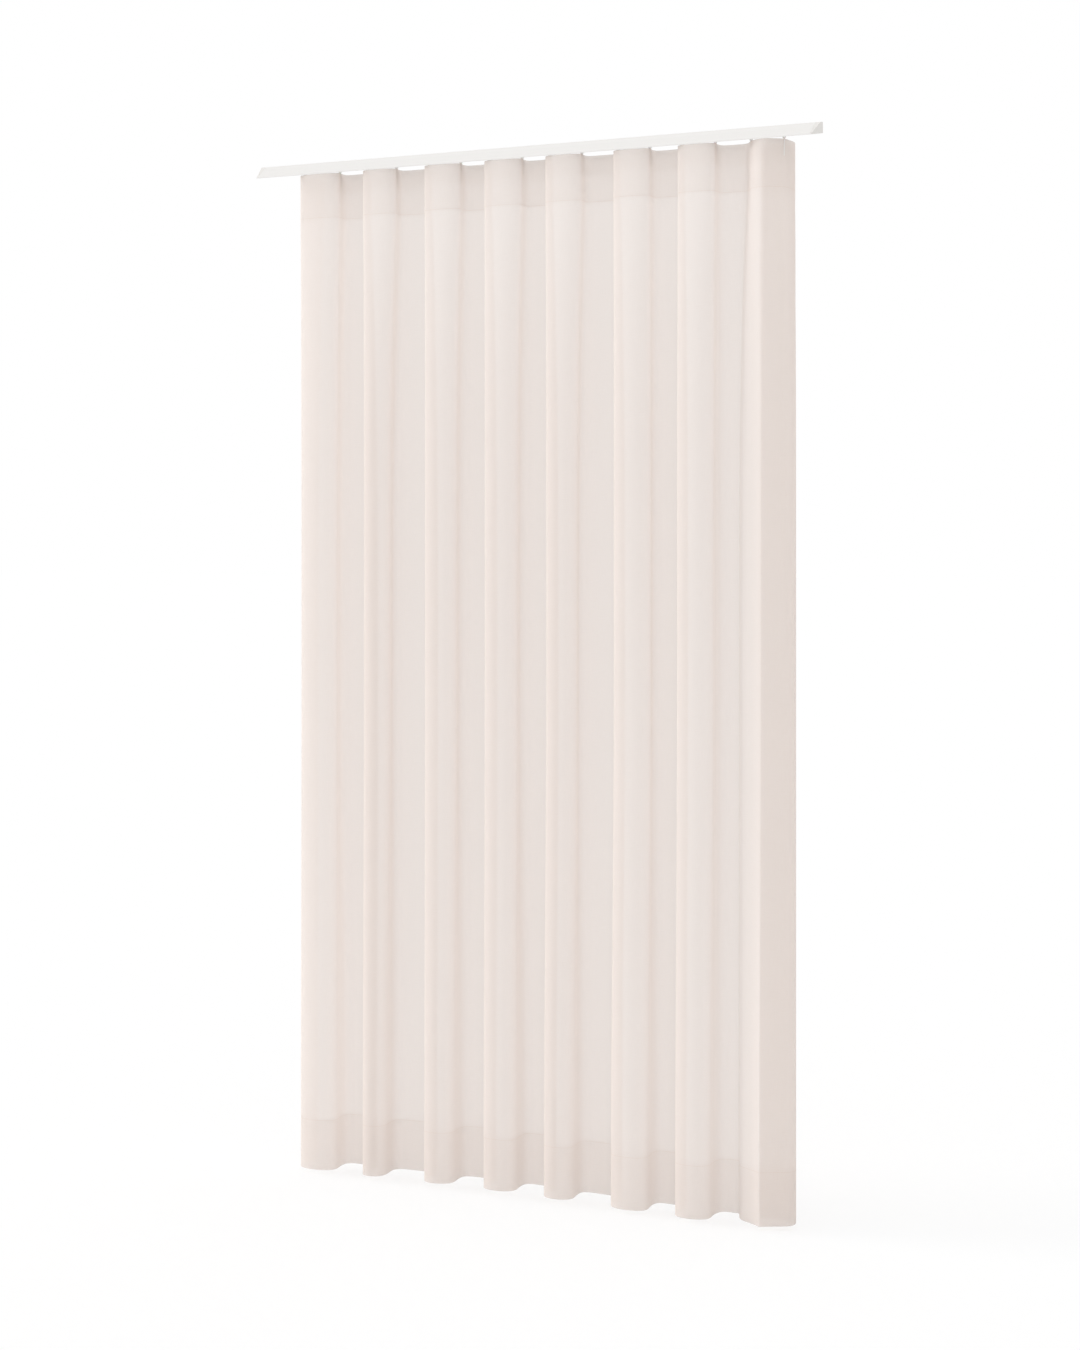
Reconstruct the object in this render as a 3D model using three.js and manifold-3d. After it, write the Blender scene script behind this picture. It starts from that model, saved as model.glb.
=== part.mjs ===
// A sheer wave curtain on its slim rail.
// X runs along the rail, Y runs from the room towards the wall, Z is up, all in millimetres.
// The origin is the middle of the rail's flat back face. The pieces are drawn from the gliders'
// line and the rail's top, and the group that holds them moves them to that origin.

import * as THREE from 'three';
import { mergeVertices } from 'three/addons/utils/BufferGeometryUtils.js';
import Module from 'manifold-3d';

const solids = await Module();
solids.setup();

// Rail: an extruded aluminium profile with a slanting front
const railLength = 1448;
const railHeight = 32;
const railFront = -30;        // front edge of the lip, measured from the gliders' line
const railBack = 14;
const topFrontEdge = 6;
const backHeight = 24.5;
const railWall = 1.5;
const cornerRadius = 1.5;
const lipThickness = 2.2;
const lipEdge = 0.4;          // rounding of the lip's front edge
const lipNose = 1.1;          // height of the lip's upright nose
const lipLand = 1;            // height over which the lip's inner face is thicker

// Channel that the gliders run in, centred under the gliders' line
const channelWidth = 13;
const channelHeight = 6;
const slotWidth = 5;

// End caps, whose outer faces slant back
const capPlate = 2;
const capSlant = 0.26;        // growth in length for each millimetre of depth
const spigotLength = 12;

// Gliders, stops and hooks
const runClearance = 0.4;     // between what slides and the channel
const seatGap = 0.3;          // between pieces that touch
const gliderLength = 9;
const gliderHeadHeight = 3;
const neckWidth = 4;
const neckThickness = 1.8;
const eyeRadius = 3.5;
const eyeHole = 2;
const eyeDrop = 4;            // from the rail's underside to the middle of the glider's eye
const linkGap = 0.5;
const stopLength = 18;
const stopHeight = 5;
const screwRadius = 1.5;
const screwLength = 5;
const screwOffset = 5;        // from the stop's middle to its screw
const stopEndDistance = 16;   // from the rail's end to the middle of the free stop
const hookThickness = 1.2;
const tongueWidth = 5;
const tongueLength = 34;

// Cloth
const clothHeight = 2400;
const clothThickness = 0.8;
const headingHeight = 108;
const hemHeight = 121;
const tapeThickness = 0.5;
const tapeHeight = 40;
const tapeDrop = 6;           // from the cloth's top edge to the tape's top edge
const lipGap = 0.3;           // from the rail's lip down to the cloth's top edge

// Where the curtain's two edges hang, measured in from the rail's ends
const fixedEdgeInset = 117;
const freeEdgeInset = 69;

// The wave along the rail from the fixed edge, as parts of the curtain's width
const foldParts = [106, 87, 92, 94, 89, 87, 88, 85];
const gapParts = [72, 84, 70, 67, 86, 74, 81];

// How far each fold's two necks move towards the fixed edge below the heading
const nearNeckSways = [-9, -10, -7, -6, -7, -5, -2, 18];
const farNeckSways = [10, 18, 13, 14, 14, 1, 8, 0];

// Depth of the wave, front crest to back crest, and how far the edges turn back
const headingWaveDepth = 54;
const hemWaveDepth = 98;
const headingReturnLength = 87;
const hemReturnLength = 50;
const headingReturnLean = 14; // how far the free edge turns in, behind its last hook
const crestFlatness = 0.14;   // squares off the crests of the stiff heading
const loopFullness = 1.3;     // over 1, the folds are wider than their necks
const leaningFullness = 2.2;  // at the far necks below the heading, which lean back
const hemFullness = 1.6;      // at the far necks at the hem
const hemEaseStart = 1500;    // drop from which the far necks ease towards the hem
const stepsPerHalfWave = 10;
const returnSteps = 3;
const flareHeights = [150, 330, 600, 950, 1400, 1850];

// Derived places
const fixedEdge = -railLength / 2 + fixedEdgeInset;
const curtainWidth = railLength - fixedEdgeInset - freeEdgeInset;
const clothTop = -railHeight - lipGap;
const underside = -backHeight;
const channelFloor = underside + railWall;
const channelTop = channelFloor + channelHeight;
const webTop = channelTop + railWall;
const frontSlope = railHeight / (topFrontEdge - railFront);
const eyeHeight = underside - eyeDrop;
const linkDistance = 2 * eyeHole - linkGap;
const hookRingHeight = eyeHeight - linkDistance;

const aluminium = (name) => finish(name, 0xf0eeeb, 0.45, 0.0);
const nylon = (name) => finish(name, 0xf2f1ee, 0.4, 0.0);
const steel = (name) => finish(name, 0xb9b9b6, 0.35, 0.9);
const sheer = (name) => finish(name, 0xeae0da, 0.9, 0.0);
const tapeCloth = (name) => finish(name, 0xf1ece7, 0.8, 0.0);

function finish(name, color, roughness, metalness) {
  return new THREE.MeshStandardMaterial({ name, color, roughness, metalness });
}

// Depth of the fascia's inner face at a given height
function depthInside(z) {
  const wallDrop = railWall * Math.hypot(1, frontSlope);
  return railFront + (z + railHeight + wallDrop) / frontSlope;
}

// Lays a shape drawn in depth and height across the rail, and extrudes it along the rail
function extrudeAlongRail(shape, start, length) {
  const geometry = new THREE.ExtrudeGeometry(shape, { depth: length, bevelEnabled: false, curveSegments: 4 });
  const across = new THREE.Matrix4().makeBasis(
    new THREE.Vector3(0, 1, 0), new THREE.Vector3(0, 0, 1), new THREE.Vector3(1, 0, 0));
  geometry.applyMatrix4(across);
  geometry.translate(start, 0, 0);
  return geometry;
}

// Extrudes a shape drawn along the rail and in height, centred on the gliders' line
function extrudeThroughRail(shape, thickness) {
  const geometry = new THREE.ExtrudeGeometry(shape, { depth: thickness, bevelEnabled: false, curveSegments: 6 });
  geometry.rotateX(Math.PI / 2);
  geometry.translate(0, thickness / 2, 0);
  return geometry;
}

function toSolid(geometry) {
  const bare = geometry.clone();
  bare.deleteAttribute('normal');
  bare.deleteAttribute('uv');
  const merged = mergeVertices(bare, 1e-4);
  return new solids.Manifold(new solids.Mesh({
    numProp: 3,
    vertProperties: new Float32Array(merged.attributes.position.array),
    triVerts: new Uint32Array(merged.index.array),
  }));
}

function fromSolid(solid) {
  const mesh = solid.getMesh();
  const geometry = new THREE.BufferGeometry();
  geometry.setAttribute('position', new THREE.BufferAttribute(mesh.vertProperties, 3));
  geometry.setIndex(new THREE.BufferAttribute(mesh.triVerts, 1));
  geometry.computeVertexNormals();
  return geometry;
}

function named(name, geometry, material) {
  const mesh = new THREE.Mesh(geometry, material);
  mesh.name = name;
  return mesh;
}

function shapeFrom(points) {
  return new THREE.Shape(points.map(([a, b]) => new THREE.Vector2(a, b)));
}

// Outline shared by the rail's front, top and back, from the lip up and over
function fasciaOutline() {
  return [
    [railBack, underside],
    [railBack, -cornerRadius],
    [railBack - cornerRadius * 0.29, -cornerRadius * 0.29],
    [railBack - cornerRadius, 0],
    [topFrontEdge + cornerRadius, 0],
    [topFrontEdge, -cornerRadius * 0.3],
    [railFront + lipEdge, -railHeight + lipNose],
    [railFront, -railHeight + lipEdge],
    [railFront + lipEdge, -railHeight],
    [railFront + lipThickness, -railHeight],
  ];
}

function railProfile() {
  const halfChannel = channelWidth / 2;
  const halfSlot = slotWidth / 2;
  const channelOutside = -halfChannel - railWall;
  const profile = shapeFrom([
    ...fasciaOutline(),
    [depthInside(-railHeight + lipLand), -railHeight + lipLand],
    [depthInside(channelTop), channelTop],
    [channelOutside, channelTop],
    [channelOutside, underside],
    [-halfSlot, underside],
    [-halfSlot, channelFloor],
    [-halfChannel, channelFloor],
    [-halfChannel, channelTop],
    [halfChannel, channelTop],
    [halfChannel, channelFloor],
    [halfSlot, channelFloor],
    [halfSlot, underside],
  ]);
  profile.holes.push(new THREE.Path(hollowOutline(0).map(([a, b]) => new THREE.Vector2(a, b))));
  return profile;
}

// The hollow above the channel, drawn in by a margin
function hollowOutline(margin) {
  const back = railBack - railWall - margin;
  const top = -railWall - margin;
  const bottom = webTop + margin;
  const slantMargin = margin * Math.hypot(1, 1 / frontSlope);
  return [
    [depthInside(bottom) + slantMargin, bottom],
    [back, bottom],
    [back, top],
    [depthInside(top) + slantMargin, top],
  ];
}

function rail() {
  return named('rail', extrudeAlongRail(railProfile(), -railLength / 2, railLength), aluminium('rail'));
}

// A cap has a plate that covers the rail's end and a spigot that fills its hollow
function endCap(name, side) {
  const plate = extrudeAlongRail(shapeFrom(fasciaOutline()), 0, capPlate);
  const place = plate.attributes.position;
  for (let i = 0; i < place.count; i += 1) {
    if (place.getX(i) > capPlate / 2) {
      place.setX(i, capPlate + capSlant * (place.getY(i) - railFront));
    }
  }
  const spigot = extrudeAlongRail(shapeFrom(hollowOutline(seatGap)), -spigotLength, spigotLength + capPlate / 2);
  const cap = toSolid(plate).add(toSolid(spigot));
  const start = railLength / 2 + seatGap;
  const placed = side > 0 ? cap.translate([start, 0, 0]) : cap.mirror([1, 0, 0]).translate([-start, 0, 0]);
  return named(name, fromSolid(placed), nylon('end_cap'));
}

// The eye that a hook hangs in, on a neck that reaches up through the slot
function eyePlate() {
  const top = channelFloor + runClearance + gliderHeadHeight / 2;
  const halfNeck = neckWidth / 2;
  const join = Math.sqrt(eyeRadius ** 2 - halfNeck ** 2);
  const angle = Math.atan2(join, halfNeck);
  const plate = new THREE.Shape();
  plate.moveTo(halfNeck, top);
  plate.lineTo(-halfNeck, top);
  plate.lineTo(-halfNeck, eyeHeight + join);
  plate.absarc(0, eyeHeight, eyeRadius, Math.PI - angle, 2 * Math.PI + angle, false);
  const hole = new THREE.Path();
  hole.absarc(0, eyeHeight, eyeHole, 0, 2 * Math.PI, true);
  plate.holes.push(hole);
  return extrudeThroughRail(plate, neckThickness);
}

function channelBlock(length, height) {
  const block = new THREE.BoxGeometry(length, channelWidth - 2 * runClearance, height);
  block.translate(0, 0, channelFloor + runClearance + height / 2);
  return toSolid(block);
}

function glider(name, place) {
  const body = channelBlock(gliderLength, gliderHeadHeight).add(toSolid(eyePlate()));
  return named(name, fromSolid(body.translate([place, 0, 0])), nylon('glider'));
}

function screwBore(place, radius) {
  const bore = new THREE.CylinderGeometry(radius, radius, 3 * stopHeight, 12);
  bore.rotateX(Math.PI / 2);
  bore.translate(place, 0, channelFloor);
  return toSolid(bore);
}

// A stop is clamped in the channel by a screw reached through the slot
function railStop(name, place, hasEye) {
  let body = channelBlock(stopLength, stopHeight);
  if (hasEye) {
    body = body.add(toSolid(eyePlate()));
  }
  const bored = body.subtract(screwBore(-screwOffset, screwRadius + seatGap));
  return named(name, fromSolid(bored.translate([place, 0, 0])), nylon('stop'));
}

function stopScrew(name, place) {
  const screw = new THREE.CylinderGeometry(screwRadius, screwRadius, screwLength, 12);
  screw.rotateX(Math.PI / 2);
  screw.translate(place - screwOffset, 0, channelTop - seatGap - screwLength / 2);
  return named(name, screw, steel('stop_screw'));
}

// A flat hook: a ring that links with the glider's eye, over a tongue that lies along the heading
function hook(name, place, direction) {
  const halfTongue = tongueWidth / 2;
  const join = Math.sqrt(eyeRadius ** 2 - halfTongue ** 2);
  const angle = Math.atan2(join, halfTongue);
  const bottom = hookRingHeight - eyeRadius - tongueLength;
  const outline = new THREE.Shape();
  outline.moveTo(-halfTongue, bottom);
  outline.lineTo(halfTongue, bottom);
  outline.lineTo(halfTongue, hookRingHeight - join);
  outline.absarc(0, hookRingHeight, eyeRadius, -angle, Math.PI + angle, false);
  const hole = new THREE.Path();
  hole.absarc(0, hookRingHeight, eyeHole, 0, 2 * Math.PI, true);
  outline.holes.push(hole);
  const geometry = extrudeThroughRail(outline, hookThickness);
  geometry.rotateZ(Math.atan2(direction.y, direction.x));
  geometry.translate(place.x, place.y, 0);
  return named(name, geometry, nylon('hook'));
}

// Crossings of the wave over the gliders' line, from the fixed edge
function crossings() {
  const parts = foldParts.flatMap((fold, i) => (i < gapParts.length ? [fold, gapParts[i]] : [fold]));
  const partWidth = curtainWidth / parts.reduce((sum, part) => sum + part, 0);
  const places = [fixedEdge];
  for (const part of parts) {
    places.push(places[places.length - 1] + part * partWidth);
  }
  return places;
}

// One point of a half wave between two crossings, in plan. side is -1 for a front fold, and
// fullness goes smoothly from the first neck's to the second's.
function wavePoint([from, to], share, side, depth, flatness, [startFullness, endFullness]) {
  const blend = THREE.MathUtils.smoothstep(share, 0, 1);
  const fullness = THREE.MathUtils.lerp(startFullness, endFullness, blend);
  const sway = fullness * Math.sin(2 * Math.PI * share) / (2 * Math.PI);
  const crest = (Math.sin(Math.PI * share) + flatness * Math.sin(3 * Math.PI * share)) / (1 - flatness);
  return new THREE.Vector2(from + (to - from) * (share - sway), side * crest * depth / 2);
}

// The wave opens out quickly under the heading and then falls straight: 0 at the heading, 1 at
// the hem
function flareAt(drop) {
  const share = Math.max(0, (drop - headingHeight) / (clothHeight - headingHeight));
  return 1 - (1 - share) ** 3;
}

// How far the necks have taken up their lean, from 0 at the heading to 1
function leanAt(drop) {
  return Math.min(1, 2 * flareAt(drop));
}

function swayedCrossings(drop) {
  const sways = nearNeckSways.flatMap((near, i) => [near, farNeckSways[i]]);
  return crossings().map((place, i) => place - sways[i] * leanAt(drop));
}

function farFullnessAt(drop) {
  const leaning = THREE.MathUtils.lerp(loopFullness, leaningFullness, leanAt(drop));
  const easing = THREE.MathUtils.smoothstep(drop, hemEaseStart, clothHeight);
  return THREE.MathUtils.lerp(leaning, hemFullness, leanAt(drop) * easing);
}

// The sheet's centre line in plan, at a drop from the cloth's top edge
function planLine(drop) {
  const places = swayedCrossings(drop);
  const flare = flareAt(drop);
  const farFullness = farFullnessAt(drop);
  const depth = THREE.MathUtils.lerp(headingWaveDepth, hemWaveDepth, flare);
  const reach = THREE.MathUtils.lerp(headingReturnLength, hemReturnLength, flare);
  const lean = headingReturnLean * (1 - flare);
  const flatness = crestFlatness * (1 - flare);
  const line = [];
  for (let i = 0; i + 1 < places.length; i += 1) {
    const side = i % 2 === 0 ? -1 : 1;
    const ends = [places[i], places[i + 1]];
    const endFullness = i + 2 < places.length ? farFullness : loopFullness;
    const fullness = side < 0 ? [loopFullness, endFullness] : [farFullness, loopFullness];
    for (let k = 0; k < stepsPerHalfWave; k += 1) {
      line.push(wavePoint(ends, k / stepsPerHalfWave, side, depth, flatness, fullness));
    }
  }
  line.push(new THREE.Vector2(places[places.length - 1], 0));
  const first = [];
  const last = [];
  for (let k = 1; k <= returnSteps; k += 1) {
    const share = k / returnSteps;
    first.unshift(new THREE.Vector2(places[0], reach * share));
    last.push(new THREE.Vector2(places[places.length - 1] - lean * share, reach * share));
  }
  return [...first, ...line, ...last];
}

// Unit vectors that point from the sheet's front face to its back face
function backNormals(line) {
  return line.map((point, i) => {
    const before = line[Math.max(i - 1, 0)];
    const after = line[Math.min(i + 1, line.length - 1)];
    const along = after.clone().sub(before).normalize();
    return new THREE.Vector2(-along.y, along.x);
  });
}

function shifted(line, distance) {
  const normals = backNormals(line);
  return line.map((point, i) => point.clone().addScaledVector(normals[i], distance));
}

// A closed sheet from rows of plan lines, each row with a height and a front and a back line
function sheetGeometry(rows) {
  const columns = rows[0].front.length;
  const vertices = [];
  for (const row of rows) {
    for (const line of [row.front, row.back]) {
      for (const point of line) {
        vertices.push(point.x, point.y, row.height);
      }
    }
  }
  const at = (row, face, column) => (row * 2 + face) * columns + column;
  const triangles = [];
  const quad = (a, b, c, d) => triangles.push(a, b, c, a, c, d);
  for (let r = 0; r + 1 < rows.length; r += 1) {
    for (let c = 0; c + 1 < columns; c += 1) {
      quad(at(r + 1, 0, c), at(r + 1, 0, c + 1), at(r, 0, c + 1), at(r, 0, c));
      quad(at(r, 1, c + 1), at(r + 1, 1, c + 1), at(r + 1, 1, c), at(r, 1, c));
    }
    const end = columns - 1;
    quad(at(r, 0, 0), at(r, 1, 0), at(r + 1, 1, 0), at(r + 1, 0, 0));
    quad(at(r, 1, end), at(r, 0, end), at(r + 1, 0, end), at(r + 1, 1, end));
  }
  const foot = rows.length - 1;
  for (let c = 0; c + 1 < columns; c += 1) {
    quad(at(0, 0, c), at(0, 0, c + 1), at(0, 1, c + 1), at(0, 1, c));
    quad(at(foot, 1, c), at(foot, 1, c + 1), at(foot, 0, c + 1), at(foot, 0, c));
  }
  const geometry = new THREE.BufferGeometry();
  geometry.setAttribute('position', new THREE.Float32BufferAttribute(vertices, 3));
  geometry.setIndex(triangles);
  geometry.computeVertexNormals();
  return geometry;
}

function clothRow(drop, doubled) {
  const line = planLine(drop);
  const thickness = doubled ? 2 * clothThickness : clothThickness;
  return {
    height: clothTop - drop,
    front: shifted(line, -clothThickness / 2),
    back: shifted(line, thickness - clothThickness / 2),
  };
}

// One sheet, doubled where it is turned over at the heading and at the hem
function curtain() {
  const hemTop = clothHeight - hemHeight;
  const rows = [
    clothRow(0, true),
    clothRow(headingHeight, true),
    clothRow(headingHeight + clothThickness, false),
    ...flareHeights.map((drop) => clothRow(drop, false)),
    clothRow(hemTop - clothThickness, false),
    clothRow(hemTop, true),
    clothRow(clothHeight, true),
  ];
  return named('curtain', sheetGeometry(rows), sheer('sheer'));
}

function tapeRow(height) {
  const line = planLine(0);
  const front = 1.5 * clothThickness + seatGap;
  return { height, front: shifted(line, front), back: shifted(line, front + tapeThickness) };
}

function headingTape() {
  const top = clothTop - tapeDrop;
  return named('heading_tape', sheetGeometry([tapeRow(top), tapeRow(top - tapeHeight)]), tapeCloth('tape'));
}

const curtainOnRail = new THREE.Group();
curtainOnRail.position.set(0, -railBack, (backHeight + cornerRadius) / 2);
curtainOnRail.add(rail(), endCap('end_cap_left', -1), endCap('end_cap_right', 1));

const numbered = (word, i) => `${word}_${String(i).padStart(2, '0')}`;
const headingNormals = backNormals(planLine(0));
const hookOffset = 1.5 * clothThickness + 2 * seatGap + tapeThickness + hookThickness / 2;

crossings().forEach((place, i) => {
  const column = returnSteps + i * stepsPerHalfWave;
  const normal = headingNormals[column];
  const hang = new THREE.Vector2(place + hookOffset / normal.x, 0);
  curtainOnRail.add(hook(numbered('hook', i), hang, new THREE.Vector2(normal.y, -normal.x)));
  if (i === 0) {
    curtainOnRail.add(railStop('anchor_stop', hang.x, true), stopScrew('anchor_screw', hang.x));
  } else {
    curtainOnRail.add(glider(numbered('glider', i), hang.x));
  }
});

const freeStop = railLength / 2 - stopEndDistance;
curtainOnRail.add(railStop('end_stop', freeStop, false), stopScrew('end_stop_screw', freeStop));
curtainOnRail.add(headingTape(), curtain());

export default curtainOnRail;
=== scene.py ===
import math

import bpy
import numpy as np
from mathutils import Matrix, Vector


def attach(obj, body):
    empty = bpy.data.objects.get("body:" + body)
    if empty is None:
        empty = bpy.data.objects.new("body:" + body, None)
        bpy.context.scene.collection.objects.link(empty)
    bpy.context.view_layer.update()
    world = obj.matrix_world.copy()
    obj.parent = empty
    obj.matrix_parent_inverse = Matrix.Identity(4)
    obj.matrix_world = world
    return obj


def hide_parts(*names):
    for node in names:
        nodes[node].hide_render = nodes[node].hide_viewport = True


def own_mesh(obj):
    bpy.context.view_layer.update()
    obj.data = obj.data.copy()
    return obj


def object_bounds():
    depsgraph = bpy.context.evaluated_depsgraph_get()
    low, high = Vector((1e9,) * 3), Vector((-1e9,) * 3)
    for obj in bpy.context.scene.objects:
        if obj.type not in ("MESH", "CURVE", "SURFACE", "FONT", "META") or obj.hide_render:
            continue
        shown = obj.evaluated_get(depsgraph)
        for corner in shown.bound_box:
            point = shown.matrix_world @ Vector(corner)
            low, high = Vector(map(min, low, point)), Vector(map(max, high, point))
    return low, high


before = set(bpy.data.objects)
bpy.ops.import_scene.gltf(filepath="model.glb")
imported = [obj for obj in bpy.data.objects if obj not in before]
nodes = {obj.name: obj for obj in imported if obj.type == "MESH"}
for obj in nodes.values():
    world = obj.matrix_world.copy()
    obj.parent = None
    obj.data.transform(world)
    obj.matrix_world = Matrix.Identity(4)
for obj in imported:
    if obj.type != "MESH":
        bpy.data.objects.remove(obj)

cad_box = [list(corner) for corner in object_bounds()]
scene = bpy.context.scene

# The studio: a camera at the curtain's mid height, to its right, level, with a lens shifted
# down to take in the hem. All is white: the floor under the curtain and what lies behind it.
# A large soft window stands at the left, and a weaker lamp near the camera fills the folds.
camera_place = (2.857, -5.342, -0.9253)
camera_turn = math.radians(27.85)
camera_lens, sensor_width = 69.33, 36
frame_rows_down, frame_rows = 126, 1350
room_strength = 0.82
lamp_height = math.radians(10)
camera = bpy.data.objects.new("camera", bpy.data.cameras.new("camera"))
camera.location = camera_place
camera.rotation_euler = (math.radians(90), 0, camera_turn)
camera.data.lens = camera_lens
camera.data.sensor_width = sensor_width
camera.data.shift_y = -frame_rows_down / frame_rows
scene.collection.objects.link(camera)
scene.camera = camera
scene.view_settings.view_transform = "Standard"
scene.cycles.transparent_max_bounces = 40

sky = bpy.data.worlds.new("studio")
sky.use_nodes = True
scene.world = sky
tree = sky.node_tree
tree.nodes.clear()
room_light = tree.nodes.new("ShaderNodeBackground")
room_light.inputs["Color"].default_value = (1, 1, 1, 1)
room_light.inputs["Strength"].default_value = room_strength
white_wall = tree.nodes.new("ShaderNodeBackground")
white_wall.inputs["Color"].default_value = (1, 1, 1, 1)
white_wall.inputs["Strength"].default_value = 1.0
path = tree.nodes.new("ShaderNodeLightPath")
seen = tree.nodes.new("ShaderNodeMath")
seen.operation = "MAXIMUM"
also_seen = tree.nodes.new("ShaderNodeMath")
also_seen.operation = "MAXIMUM"
choice = tree.nodes.new("ShaderNodeMixShader")
world_output = tree.nodes.new("ShaderNodeOutputWorld")
tree.links.new(path.outputs["Is Camera Ray"], seen.inputs[0])
tree.links.new(path.outputs["Is Glossy Ray"], seen.inputs[1])
tree.links.new(seen.outputs[0], also_seen.inputs[0])
tree.links.new(path.outputs["Is Transmission Ray"], also_seen.inputs[1])
tree.links.new(also_seen.outputs[0], choice.inputs["Fac"])
tree.links.new(room_light.outputs[0], choice.inputs[1])
tree.links.new(white_wall.outputs[0], choice.inputs[2])
tree.links.new(choice.outputs[0], world_output.inputs["Surface"])


def add_lamp(name, azimuth, energy, softness):
    """A distant lamp. Azimuth is in degrees from straight in front, to the right as seen there."""
    turn = math.radians(azimuth)
    beam = Vector((-math.sin(turn), math.cos(turn), -math.tan(lamp_height)))
    lamp = bpy.data.objects.new(name, bpy.data.lights.new(name, "SUN"))
    lamp.data.energy = energy
    lamp.data.angle = math.radians(softness)
    lamp.rotation_euler = beam.to_track_quat("-Z", "Y").to_euler()
    scene.collection.objects.link(lamp)


add_lamp("window_light", -75, 1.77, 30)
add_lamp("fill_light", 28, 0.30, 15)

# The floor looks exactly white to the camera: what it scatters back of the light above plus
# its glow comes to 1. Other rays meet plain matt white.
floor_gap, floor_size = 0.012, 240
floor_scatter, floor_glow = 0.30, 0.72
floor_height = cad_box[0][2] - floor_gap
bpy.ops.object.select_all(action="DESELECT")
bpy.ops.mesh.primitive_plane_add(size=floor_size, location=(0, 0, floor_height))
floor = bpy.context.active_object
floor.name = "floor"
floor_finish = bpy.data.materials.new("white_floor")
floor_finish.use_nodes = True
tree = floor_finish.node_tree
matt = tree.nodes["Principled BSDF"]
matt.inputs["Base Color"].default_value = (0.85, 0.85, 0.85, 1)
matt.inputs["Roughness"].default_value = 0.9
matt.inputs["Specular IOR Level"].default_value = 0.0
shadow_taker = tree.nodes.new("ShaderNodeBsdfDiffuse")
shadow_taker.inputs["Color"].default_value = (floor_scatter, floor_scatter, floor_scatter, 1)
path = tree.nodes.new("ShaderNodeLightPath")
glow = tree.nodes.new("ShaderNodeEmission")
glow.inputs["Strength"].default_value = floor_glow
lift = tree.nodes.new("ShaderNodeAddShader")
view = tree.nodes.new("ShaderNodeMixShader")
tree.links.new(shadow_taker.outputs[0], lift.inputs[0])
tree.links.new(glow.outputs[0], lift.inputs[1])
tree.links.new(path.outputs["Is Camera Ray"], view.inputs["Fac"])
tree.links.new(matt.outputs[0], view.inputs[1])
tree.links.new(lift.outputs[0], view.inputs[2])
tree.links.new(view.outputs[0], tree.nodes["Material Output"].inputs["Surface"])
floor.data.materials.append(floor_finish)


# The rail: one length of extruded aluminium with a slanting front, powder coated white. The
# coat has a very fine orange peel, and the extrusion leaves faint lines along it. Brackets
# grip its flat back face.
def new_finish(name, colour, roughness):
    material = bpy.data.materials.new(name)
    material.use_nodes = True
    surface = material.node_tree.nodes["Principled BSDF"]
    surface.inputs["Base Color"].default_value = (*colour, 1)
    surface.inputs["Roughness"].default_value = roughness
    return material, material.node_tree, surface


def stretched_noise(tree, scale, stretch, detail=2.0):
    """A noise pattern on object coordinates in metres, stretched by a factor on each axis."""
    place = tree.nodes.new("ShaderNodeTexCoord")
    mapping = tree.nodes.new("ShaderNodeMapping")
    mapping.inputs["Scale"].default_value = stretch
    pattern = tree.nodes.new("ShaderNodeTexNoise")
    pattern.inputs["Scale"].default_value = scale
    pattern.inputs["Detail"].default_value = detail
    tree.links.new(place.outputs["Object"], mapping.inputs["Vector"])
    tree.links.new(mapping.outputs[0], pattern.inputs["Vector"])
    return pattern


def map_between(tree, value, low, high):
    """Turns a pattern's value from about 0.3..0.7 into low..high."""
    ramp = tree.nodes.new("ShaderNodeMapRange")
    ramp.inputs["From Min"].default_value = 0.3
    ramp.inputs["From Max"].default_value = 0.7
    ramp.inputs["To Min"].default_value = low
    ramp.inputs["To Max"].default_value = high
    tree.links.new(value, ramp.inputs["Value"])
    return ramp.outputs[0]


def add_bump(tree, surface, height, distance, strength=1.0):
    bump = tree.nodes.new("ShaderNodeBump")
    bump.inputs["Distance"].default_value = distance
    bump.inputs["Strength"].default_value = strength
    tree.links.new(height, bump.inputs["Height"])
    tree.links.new(bump.outputs[0], surface.inputs["Normal"])


def vary_colour(tree, surface, pattern, light, dark):
    shade = tree.nodes.new("ShaderNodeMix")
    shade.data_type = "RGBA"
    shade.inputs["A"].default_value = (*light, 1)
    shade.inputs["B"].default_value = (*dark, 1)
    tree.links.new(map_between(tree, pattern, 0.0, 1.0), shade.inputs["Factor"])
    tree.links.new(shade.outputs["Result"], surface.inputs["Base Color"])


def powder_coat():
    material, tree, surface = new_finish("white_powder_coat", (0.83, 0.815, 0.795), 0.42)
    peel = stretched_noise(tree, 900, (1, 1, 1))
    lines = stretched_noise(tree, 40, (0.02, 30, 30))
    tree.links.new(map_between(tree, peel.outputs["Fac"], 0.36, 0.48), surface.inputs["Roughness"])
    vary_colour(tree, surface, lines.outputs["Fac"], (0.84, 0.825, 0.805), (0.82, 0.805, 0.785))
    add_bump(tree, surface, peel.outputs["Fac"], 0.00006)
    return material


def wear(node_name, material):
    slots = nodes[node_name].material_slots
    if not slots:
        nodes[node_name].data.materials.append(material)
    for slot in slots:
        slot.material = material


wear("rail", powder_coat())


# End caps: moulded white plastic, pressed into the rail's ends. Their outer faces slant back
# and are a little duller than the coated rail.
def cap_plastic():
    material, tree, surface = new_finish("cap_plastic", (0.81, 0.79, 0.76), 0.5)
    grain = stretched_noise(tree, 1600, (1, 1, 1))
    tree.links.new(map_between(tree, grain.outputs["Fac"], 0.44, 0.58), surface.inputs["Roughness"])
    clouds = stretched_noise(tree, 60, (1, 1, 1))
    vary_colour(tree, surface, clouds.outputs["Fac"], (0.82, 0.80, 0.77), (0.80, 0.78, 0.75))
    add_bump(tree, surface, grain.outputs["Fac"], 0.00005)
    return material


end_cap_plastic = cap_plastic()
wear("end_cap_left", end_cap_plastic)
wear("end_cap_right", end_cap_plastic)


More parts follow.
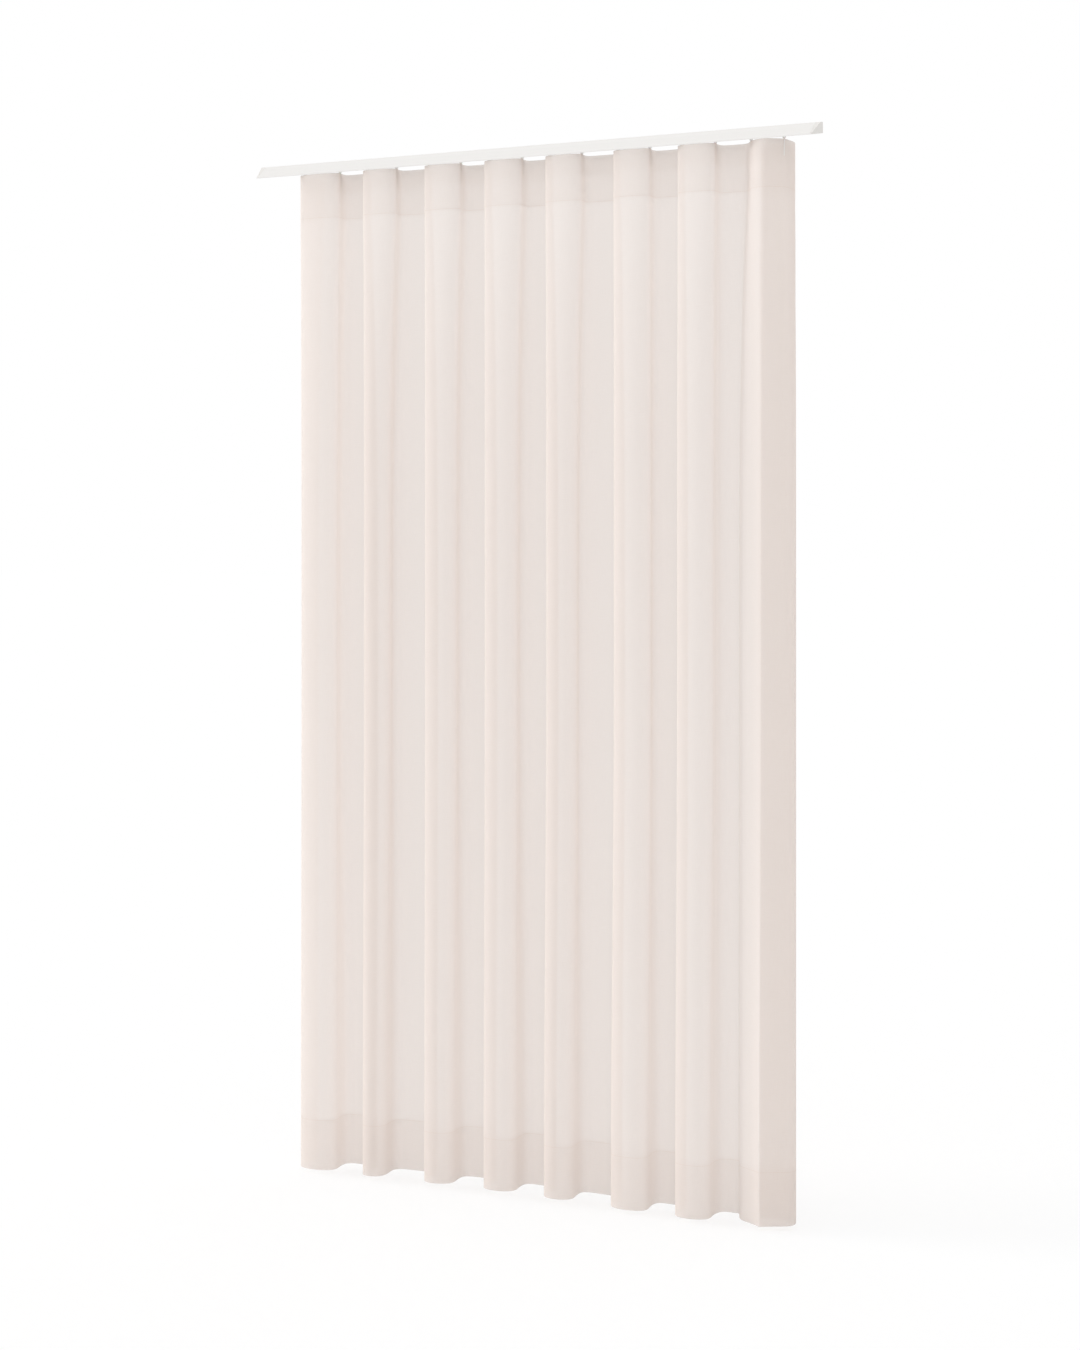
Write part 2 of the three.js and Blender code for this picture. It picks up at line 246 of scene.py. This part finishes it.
# Stops, gliders and hooks: small parts moulded in white nylon, slightly waxy. The stops are
# clamped in the channel, the gliders run in it, and each carries one hook of the heading.
def white_nylon(name, colour, shaded):
    material, tree, surface = new_finish(name, colour, 0.36)
    surface.inputs["Subsurface Weight"].default_value = 0.15
    surface.inputs["Subsurface Scale"].default_value = 0.001
    flow = stretched_noise(tree, 300, (1, 1, 0.4))
    tree.links.new(map_between(tree, flow.outputs["Fac"], 0.30, 0.44), surface.inputs["Roughness"])
    vary_colour(tree, surface, flow.outputs["Fac"], colour, shaded)
    add_bump(tree, surface, flow.outputs["Fac"], 0.00004)
    return material


stop_nylon = white_nylon("stop_nylon", (0.84, 0.83, 0.81), (0.80, 0.79, 0.77))
runner_nylon = white_nylon("runner_nylon", (0.87, 0.86, 0.84), (0.83, 0.82, 0.80))
wear("anchor_stop", stop_nylon)
wear("end_stop", stop_nylon)
for name in nodes:
    if name.startswith(("glider_", "hook_")):
        wear(name, runner_nylon)


# Stop screws: plated steel grub screws that clamp each stop, with fine turning marks.
def plated_steel():
    material, tree, surface = new_finish("plated_steel", (0.62, 0.61, 0.59), 0.3)
    surface.inputs["Metallic"].default_value = 1.0
    turning = stretched_noise(tree, 500, (1, 1, 8))
    marks = turning.outputs["Fac"]
    tree.links.new(map_between(tree, marks, 0.24, 0.40), surface.inputs["Roughness"])
    vary_colour(tree, surface, marks, (0.64, 0.63, 0.61), (0.55, 0.54, 0.52))
    add_bump(tree, surface, marks, 0.00003)
    return material


screw_steel = plated_steel()
wear("anchor_screw", screw_steel)
wear("end_stop_screw", screw_steel)


# The curtain: sheer plain-weave voile, pale warm beige, with narrow side hems, turned over and
# sewn at the heading and at the hem. It hangs in wave folds that open out below the heading,
# and its free side edge curls in behind the last fold.
gliders_line = -0.014         # in depth
cloth_top = -0.0193
cloth_height = 2.400
cloth_width = 2.520           # the folded line's mean length over the cloth's height
heading_height = 0.108
hem_height = 0.121
side_hem = 0.014
cloth_thickness = 0.0004
layer_gap = 0.0010            # between the middles of two sewn layers
fixed_edge = -0.607
fold_widths = [0.106, 0.087, 0.092, 0.094, 0.089, 0.087, 0.088, 0.085]
gap_widths = [0.072, 0.084, 0.070, 0.067, 0.086, 0.074, 0.081]
# How far each fold's near and far neck move to the right between heading and body, and then
# between body and hem
near_sways = [0.009, 0.010, 0.007, 0.006, 0.007, 0.005, 0.002, -0.024]
far_sways = [-0.010, -0.018, -0.013, -0.014, -0.014, -0.001, -0.008, 0.015]
near_drifts = [-0.002, -0.003, -0.002, -0.003, -0.006, -0.008, -0.005, -0.002]
far_drifts = [0.004, -0.007, -0.002, 0.001, -0.005, -0.003, -0.003, 0.0]
body_drop = 1.20              # where the folds have taken their full shape
heading_depth, hem_depth = 0.054, 0.098
body_depth_share = 0.87       # of the growth in depth that is reached in the body
heading_return, hem_return = 0.087, 0.050
near_fullness = 1.3           # over 1, a loop is wider than its neck
body_near_fullness = 1.15
far_fullness = 1.4
body_far_fullness = 2.3
hem_far_fullness = 1.6
# The last fold is shallow, and a straight slope leads into it from the loop beside it
hem_last_depth = 0.074
slope_fullness, body_slope_fullness = 0.0, -0.6
slope_start, body_slope_start = 1.0, 1.3
last_near_fullness, body_last_near_fullness = 0.0, -0.9
last_far_fullness, body_last_far_fullness = -0.4, -0.7
end_curl = math.radians(100)  # how far the free side edge curls in behind the last fold
heading_end_return, body_end_return = 0.158, 0.128
heading_curl_start, body_curl_start = 0.30, 0.14      # as shares of the return
curl_share = 0.30             # share of the return over which it turns
front_flatness, back_flatness = 0.05, 0.13
hem_lift = 0.0065             # how much higher the hem hangs in the middle
lift_middle, lift_spread = -0.05, 0.30
half_wave_steps = 22
return_steps = 7
end_steps = 14
turn_steps = 6                # rows of a turned heading or hem
body_rows = 84


def blend(start, end, share):
    return start + (end - start) * share


def smooth_step(share):
    share = min(1.0, max(0.0, share))
    return share * share * (3 - 2 * share)


def body_share(drop):
    """0 down to the heading's seam, then soon 1: how far the folds have opened out."""
    share = min(1.0, max(0.0, (drop - heading_height) / (body_drop - heading_height)))
    return 1 - (1 - share) ** 3


def hem_share(drop):
    return smooth_step((drop - body_drop) / (cloth_height - body_drop))


def necks(drop):
    """Places along the rail where the sheet crosses the gliders' line, from the fixed edge."""
    opened, lowered = body_share(drop), hem_share(drop)
    places, edge = [], fixed_edge
    for i, width in enumerate(fold_widths):
        places.append(edge + near_sways[i] * opened + near_drifts[i] * lowered)
        places.append(edge + width + far_sways[i] * opened + far_drifts[i] * lowered)
        if i < len(gap_widths):
            edge += width + gap_widths[i]
    return places


def half_wave(start, end, side, depth, flatness, fullness):
    """Points from one neck to the next. side is -1 for a front fold, 1 for a back loop."""
    points = []
    for k in range(half_wave_steps):
        t = k / half_wave_steps
        sway = blend(*fullness, smooth_step(t)) * math.sin(2 * math.pi * t) / (2 * math.pi)
        crest = (math.sin(math.pi * t) + flatness * math.sin(3 * math.pi * t)) / (1 - flatness)
        points.append((start + (end - start) * (t - sway), side * crest * depth / 2))
    return points


def plan_line(drop):
    """The sheet's line in plan, from its left edge to its right edge."""
    places = necks(drop)
    opened, lowered = body_share(drop), hem_share(drop)
    depth = blend(heading_depth, hem_depth, blend(lowered, opened, body_depth_share))
    reach = blend(heading_return, hem_return, opened)
    near = blend(near_fullness, body_near_fullness, opened)
    far = blend(blend(far_fullness, body_far_fullness, opened), hem_far_fullness, lowered)
    slope = blend(slope_fullness, body_slope_fullness, opened)
    loop_start = blend(slope_start, body_slope_start, opened)
    last_near = blend(last_near_fullness, body_last_near_fullness, opened)
    last_far = blend(last_far_fullness, body_last_far_fullness, opened)
    line = [(places[0], reach * k / return_steps) for k in range(return_steps, 0, -1)]
    loops = len(places) - 2
    for i in range(loops):
        if i % 2 == 0:
            line += half_wave(places[i], places[i + 1], -1, depth, front_flatness * (1 - opened),
                              (near, far))
        else:
            line += half_wave(places[i], places[i + 1], 1, depth, back_flatness,
                              (loop_start, slope) if i + 1 == loops else (far, near))
    last_depth = blend(heading_depth, hem_last_depth, lowered)
    line += half_wave(places[-2], places[-1], -1, last_depth, front_flatness * (1 - opened),
                      (last_near, last_far))
    x, y = places[-1], 0.0
    step = blend(heading_end_return, body_end_return, opened) / end_steps
    curl_start = blend(heading_curl_start, body_curl_start, opened)
    for k in range(end_steps + 1):
        line.append((x, y))
        angle = math.pi / 2 + end_curl * smooth_step((k / end_steps - curl_start) / curl_share)
        x += step * math.cos(angle)
        y += step * math.sin(angle)
    return np.array(line)


def smooth_corners(line, times):
    """Rounds the line's corners and keeps its two ends."""
    for _ in range(times):
        inner = (line[:-2] + 2 * line[1:-1] + line[2:]) / 4
        line = np.vstack([line[:1], inner, line[-1:]])
    return line


def back_normals(line):
    along = np.gradient(line, axis=0)
    along /= np.linalg.norm(along, axis=1)[:, None]
    return np.stack([-along[:, 1], along[:, 0]], axis=1)


def distances_along(line):
    return np.concatenate([[0], np.cumsum(np.linalg.norm(np.diff(line, axis=0), axis=1))])


def with_side_hems(line, values):
    """Adds the turned side hems' columns at both ends, to the line's points or its values."""
    steps = distances_along(line)
    inwards = np.array([side_hem, side_hem / 2, 0.0005])
    columns = np.asarray(values, dtype=float).reshape(len(line), -1)
    def at(places):
        return np.stack([np.interp(places, steps, column) for column in columns.T], axis=1)
    return np.vstack([at(inwards), columns, at(steps[-1] - inwards[::-1])])


def curtain_rows():
    """Each row of the sheet as its drop and how many layers behind the front it lies: from the
    heading's turned edge up, over the top, down the front, round the hem and up behind it."""
    hem_top = cloth_height - hem_height
    edge = 0.0008
    heading = [heading_height * k / turn_steps for k in range(1, turn_steps + 1)]
    seam = [heading_height + step for step in (0.004, 0.010, 0.020)]
    body = list(np.linspace(heading_height + 0.035, hem_top - 0.010, body_rows))
    hem = [hem_top - 0.003, hem_top + 0.001]
    hem += [hem_top + hem_height * k / turn_steps for k in range(1, turn_steps)]
    front = [edge] + heading + seam + body + hem + [cloth_height - edge]
    turned_heading = [(heading_height, 0.55), (heading_height - 0.003, 0.6)]
    turned_heading += [(drop, 1.0) for drop in reversed(heading[:-1])] + [(edge, 1.0), (0.0, 0.5)]
    turned_hem = [(cloth_height, 0.5), (cloth_height - edge, 1.0)]
    turned_hem += [(drop, 1.0) for drop in reversed(hem[2:])]
    turned_hem += [(hem_top + 0.003, 0.6), (hem_top, 0.55)]
    return turned_heading + [(drop, 0.0) for drop in front] + turned_hem


def sheet_line(drop):
    line = smooth_corners(plan_line(drop), 2)
    line[:, 1] += gliders_line
    return line


def grid_piece(name, points, uvs, columns, behind):
    """A sheet as a grid of points, row by row, with its own flat layout as UV in metres. behind
    tells how far each point belongs to a layer turned over behind the front one."""
    rows = len(points) // columns
    corners = [r * columns + c for r in range(rows - 1) for c in range(columns - 1)]
    faces = [(k, k + 1, k + columns + 1, k + columns) for k in corners]
    mesh = bpy.data.meshes.new(name)
    mesh.from_pydata([tuple(point) for point in points], [], faces)
    layout = mesh.uv_layers.new(name="cloth")
    for loop in mesh.loops:
        layout.data[loop.index].uv = uvs[loop.vertex_index]
    mark = mesh.attributes.new("turned_layer", "FLOAT", "POINT")
    mark.data.foreach_set("value", behind)
    piece = bpy.data.objects.new(name, mesh)
    scene.collection.objects.link(piece)
    return piece


def build_curtain():
    layout_line = sheet_line(body_drop)
    across = distances_along(layout_line)
    across = with_side_hems(layout_line, across * cloth_width / across[-1])[:, 0]
    side_layers = np.zeros(len(across))
    side_layers[:3] = side_layers[-3:] = 0.5
    side_layers[3] = side_layers[-4] = 0.25
    points, uvs, behind = [], [], []
    for drop, layers in curtain_rows():
        line = sheet_line(drop)
        depths = (side_layers + layers) * layer_gap
        offset = with_side_hems(line, back_normals(line)) * depths[:, None]
        places = with_side_hems(line, line) + offset
        for (x, y), u in zip(places, across):
            middle = math.exp(-((x - lift_middle) / lift_spread) ** 2)
            lift = hem_lift * middle * (drop / cloth_height) ** 2
            points.append((x, y, cloth_top - drop + lift))
            uvs.append((u, cloth_height - drop))
        behind += list(np.minimum(1, layers / 0.5 + side_layers * 2))
    return grid_piece("sheer_curtain", points, uvs, len(across), behind)


def math_node(tree, operation, *values):
    node = tree.nodes.new("ShaderNodeMath")
    node.operation = operation
    for socket, value in zip(node.inputs, values):
        if isinstance(value, (int, float)):
            socket.default_value = value
        else:
            tree.links.new(value, socket)
    return node.outputs[0]


def yarn_noise(tree, layout, across, down):
    """Uneven yarns: a noise on the cloth's flat layout, with so many marks to the metre."""
    mapping = tree.nodes.new("ShaderNodeMapping")
    mapping.inputs["Scale"].default_value = (across, down, 1)
    pattern = tree.nodes.new("ShaderNodeTexNoise")
    pattern.inputs["Scale"].default_value = 1.0
    pattern.inputs["Detail"].default_value = 2.0
    tree.links.new(layout.outputs["UV"], mapping.inputs["Vector"])
    tree.links.new(mapping.outputs[0], pattern.inputs["Vector"])
    return pattern.outputs["Fac"]


def stitch_row(tree, across, up, height):
    """1 on the stitches of a seam at a height over the hem's edge, 0 elsewhere."""
    stitch_pitch, thread_width, stitch_share = 0.0032, 0.0009, 0.7
    distance = math_node(tree, "ABSOLUTE", math_node(tree, "SUBTRACT", up, height))
    on_seam = math_node(tree, "LESS_THAN", distance, thread_width / 2)
    along = math_node(tree, "FRACT", math_node(tree, "DIVIDE", across, stitch_pitch))
    return math_node(tree, "MULTIPLY", on_seam,
                     math_node(tree, "LESS_THAN", along, stitch_share))


def sheer_shader(tree, surface, opacity, tint):
    """A cloth that scatters part of the light back and part through, and is open between its
    yarns. Only the outer side of its thin slab is shaded, so a slab counts as one layer."""
    share_through = 0.45
    through = tree.nodes.new("ShaderNodeBsdfTranslucent")
    tree.links.new(tint, through.inputs["Color"])
    cloth = tree.nodes.new("ShaderNodeMixShader")
    cloth.inputs["Fac"].default_value = share_through
    clear = tree.nodes.new("ShaderNodeBsdfTransparent")
    mesh_open = tree.nodes.new("ShaderNodeMixShader")
    geometry = tree.nodes.new("ShaderNodeNewGeometry")
    inner = tree.nodes.new("ShaderNodeMixShader")
    tree.links.new(opacity, mesh_open.inputs["Fac"])
    tree.links.new(surface.outputs[0], cloth.inputs[1])
    tree.links.new(through.outputs[0], cloth.inputs[2])
    tree.links.new(clear.outputs[0], mesh_open.inputs[1])
    tree.links.new(cloth.outputs[0], mesh_open.inputs[2])
    tree.links.new(geometry.outputs["Backfacing"], inner.inputs["Fac"])
    tree.links.new(mesh_open.outputs[0], inner.inputs[1])
    tree.links.new(clear.outputs[0], inner.inputs[2])
    tree.links.new(inner.outputs[0], tree.nodes["Material Output"].inputs["Surface"])


def voile():
    rosy, greyish = (0.906, 0.835, 0.791), (0.886, 0.833, 0.800)
    thread_colour = (0.80, 0.71, 0.65)
    sparse, dense = 0.845, 0.875
    marks_across, marks_along = 700, 40       # of a yarn, to the metre
    # A turned layer lies against the front one, and it is shaded less dense than the real second
    # layer, because at full density the bands come out darker than in the photo.
    turned_opacity = 0.28
    seam_inset, stitch_opacity = 0.002, 0.92
    material, tree, surface = new_finish("sheer_voile", rosy, 0.9)
    material.use_backface_culling = True
    surface.inputs["Specular IOR Level"].default_value = 0.1
    layout = tree.nodes.new("ShaderNodeUVMap")
    layout.uv_map = "cloth"
    split = tree.nodes.new("ShaderNodeSeparateXYZ")
    tree.links.new(layout.outputs["UV"], split.inputs[0])
    warp = yarn_noise(tree, layout, marks_across, marks_along)
    weft = yarn_noise(tree, layout, marks_along, marks_across)
    clouds = yarn_noise(tree, layout, 420, 400)
    yarns = math_node(tree, "MULTIPLY", math_node(tree, "ADD", warp, weft), 0.5)
    heading_stitches = stitch_row(tree, split.outputs[0], split.outputs[1],
                                  cloth_height - heading_height + seam_inset)
    hem_stitches = stitch_row(tree, split.outputs[0], split.outputs[1], hem_height - seam_inset)
    stitches = math_node(tree, "MAXIMUM", heading_stitches, hem_stitches)

    shade = tree.nodes.new("ShaderNodeMix")
    shade.data_type = "RGBA"
    shade.inputs["A"].default_value = (*rosy, 1)
    shade.inputs["B"].default_value = (*greyish, 1)
    mottle = math_node(tree, "MULTIPLY", math_node(tree, "ADD", clouds, yarns), 0.5)
    tree.links.new(map_between(tree, mottle, 0.0, 1.0), shade.inputs["Factor"])
    thread = tree.nodes.new("ShaderNodeMix")
    thread.data_type = "RGBA"
    thread.inputs["B"].default_value = (*thread_colour, 1)
    tree.links.new(stitches, thread.inputs["Factor"])
    tree.links.new(shade.outputs["Result"], thread.inputs["A"])
    tint = thread.outputs["Result"]
    tree.links.new(tint, surface.inputs["Base Color"])
    tree.links.new(map_between(tree, clouds, 0.84, 0.96), surface.inputs["Roughness"])
    height = math_node(tree, "ADD", yarns, math_node(tree, "MULTIPLY", stitches, 0.8))
    add_bump(tree, surface, height, 0.0001)

    mark = tree.nodes.new("ShaderNodeAttribute")
    mark.attribute_name = "turned_layer"
    share = math_node(tree, "SUBTRACT", 1.0, math_node(tree, "MULTIPLY", mark.outputs["Fac"],
                                                       1.0 - turned_opacity))
    opacity = math_node(tree, "MULTIPLY", map_between(tree, yarns, sparse, dense), share)
    opacity = math_node(tree, "MAXIMUM", opacity, math_node(tree, "MULTIPLY", stitches,
                                                            stitch_opacity))
    sheer_shader(tree, surface, opacity, tint)
    return material


def finish_sheet(piece, thickness):
    bpy.ops.object.select_all(action="DESELECT")
    bpy.context.view_layer.objects.active = piece
    piece.select_set(True)
    solidify = piece.modifiers.new("thickness", "SOLIDIFY")
    solidify.thickness = thickness
    solidify.offset = 0
    bpy.ops.object.modifier_apply(modifier="thickness")
    bpy.ops.object.mode_set(mode="EDIT")
    bpy.ops.mesh.select_all(action="SELECT")
    bpy.ops.mesh.normals_make_consistent(inside=False)
    bpy.ops.object.mode_set(mode="OBJECT")
    bpy.ops.object.shade_smooth_by_angle(angle=math.radians(50))


curtain = build_curtain()
curtain.data.materials.append(voile())
finish_sheet(curtain, cloth_thickness)
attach(curtain, "root")
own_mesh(curtain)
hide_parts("curtain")


# The heading tape: a stiff, see-through woven tape sewn behind the heading's top. The hooks
# are pushed into it, and it makes the cloth stand in its wave.
tape_height = 0.040
tape_drop = 0.006
tape_offset = 0.0018
tape_rows = 5


def build_tape():
    line = sheet_line(0)
    places = line + back_normals(line) * tape_offset
    across = distances_along(line)
    points, uvs = [], []
    for r in range(tape_rows):
        height = tape_height * r / (tape_rows - 1)
        points += [(x, y, cloth_top - tape_drop - height) for x, y in places]
        uvs += [(u, tape_height - height) for u in across]
    return grid_piece("woven_heading_tape", points, uvs, len(line), [0.0] * len(points))


def tape_weave():
    pale, shaded = (0.90, 0.88, 0.86), (0.84, 0.82, 0.80)
    rib_pitch = 0.004
    material, tree, surface = new_finish("woven_tape", pale, 0.8)
    material.use_backface_culling = True
    layout = tree.nodes.new("ShaderNodeUVMap")
    layout.uv_map = "cloth"
    split = tree.nodes.new("ShaderNodeSeparateXYZ")
    tree.links.new(layout.outputs["UV"], split.inputs[0])
    turn = math_node(tree, "MULTIPLY", split.outputs[0], 2 * math.pi / rib_pitch)
    ribs = math_node(tree, "MULTIPLY_ADD", math_node(tree, "SINE", turn), 0.2, 0.5)
    vary_colour(tree, surface, ribs, pale, shaded)
    tree.links.new(map_between(tree, ribs, 0.72, 0.88), surface.inputs["Roughness"])
    add_bump(tree, surface, ribs, 0.0004)
    tint = surface.inputs["Base Color"].links[0].from_socket
    sheer_shader(tree, surface, map_between(tree, ribs, 0.15, 0.30), tint)
    return material


tape = build_tape()
tape.data.materials.append(tape_weave())
finish_sheet(tape, cloth_thickness)
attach(tape, "root")
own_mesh(tape)
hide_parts("heading_tape")
